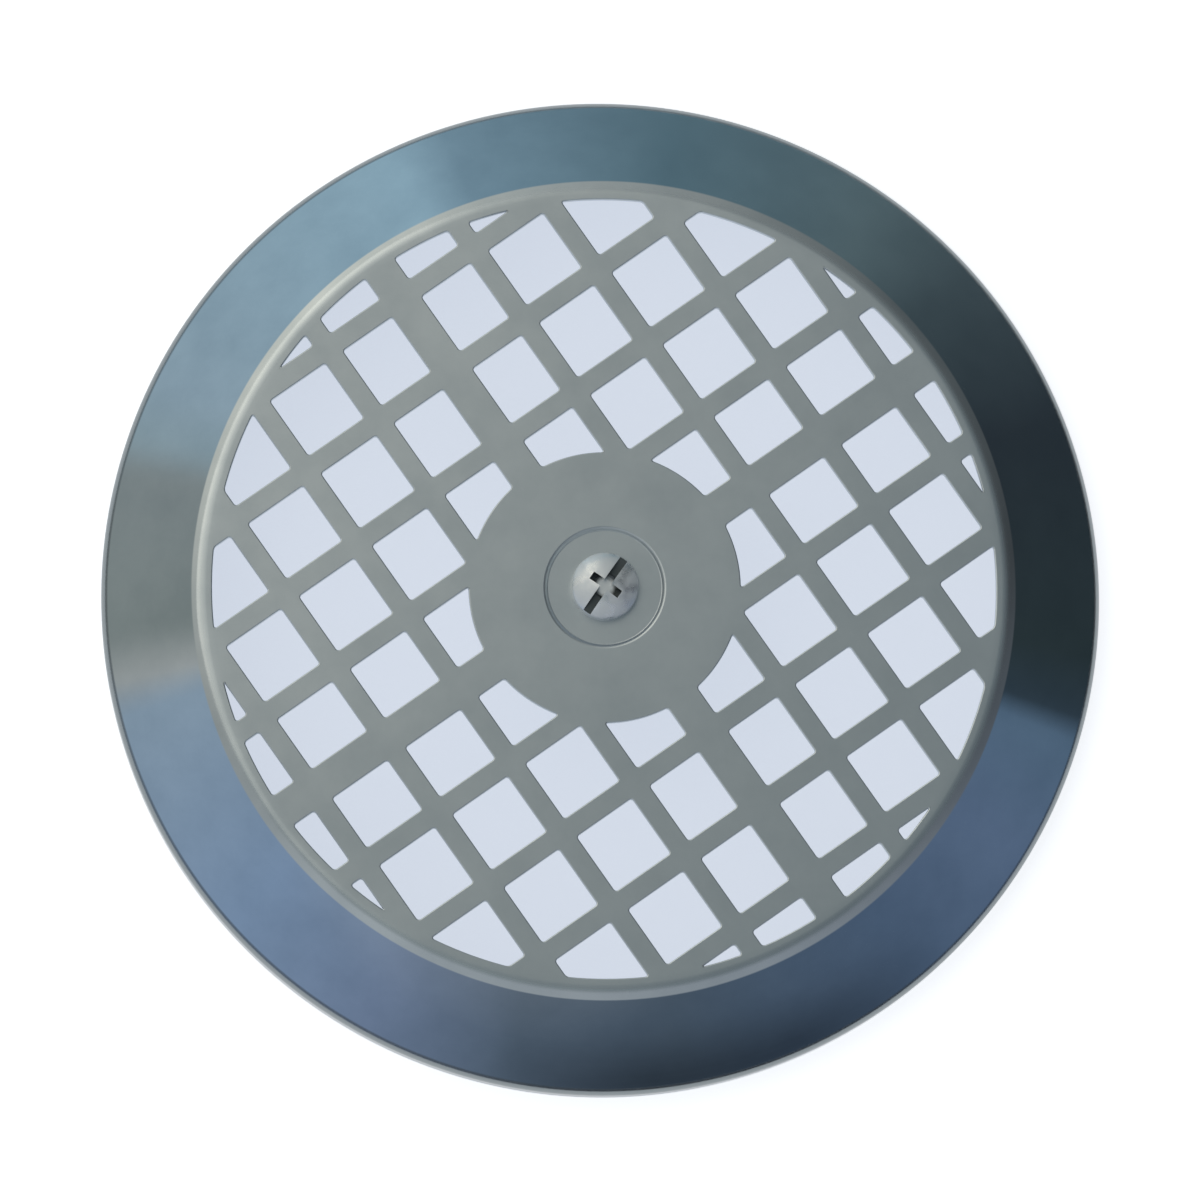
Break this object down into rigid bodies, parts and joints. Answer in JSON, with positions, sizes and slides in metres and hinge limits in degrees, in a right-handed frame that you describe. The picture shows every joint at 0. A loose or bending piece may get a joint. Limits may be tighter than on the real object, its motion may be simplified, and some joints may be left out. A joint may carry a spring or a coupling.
{
  "type": "vent cover",
  "caption": "Round pressed-steel vent cover with a square-pierced flat face, plain hub, coned shoulder and short skirt, fixed by a pan-head screw in a shallow dimple at its centre.",
  "frame": {"origin": "centre of the rim plane, where the skirt's edge stands on the wall", "axes": "+Z out of the face along the cover's axis, +X and +Y in the rim plane, with the grille bars turned from +X"},
  "size_m": [0.12, 0.12, 0.016],
  "materials": {
    "cover_sheet": "bright steel sheet, polished on the shoulder and satin on the face",
    "screw_steel": "bright zinc plated"
  },
  "bodies": {
    "root": {"cover": "cover_sheet", "centre_screw": "screw_steel"}
  },
  "joints": []
}
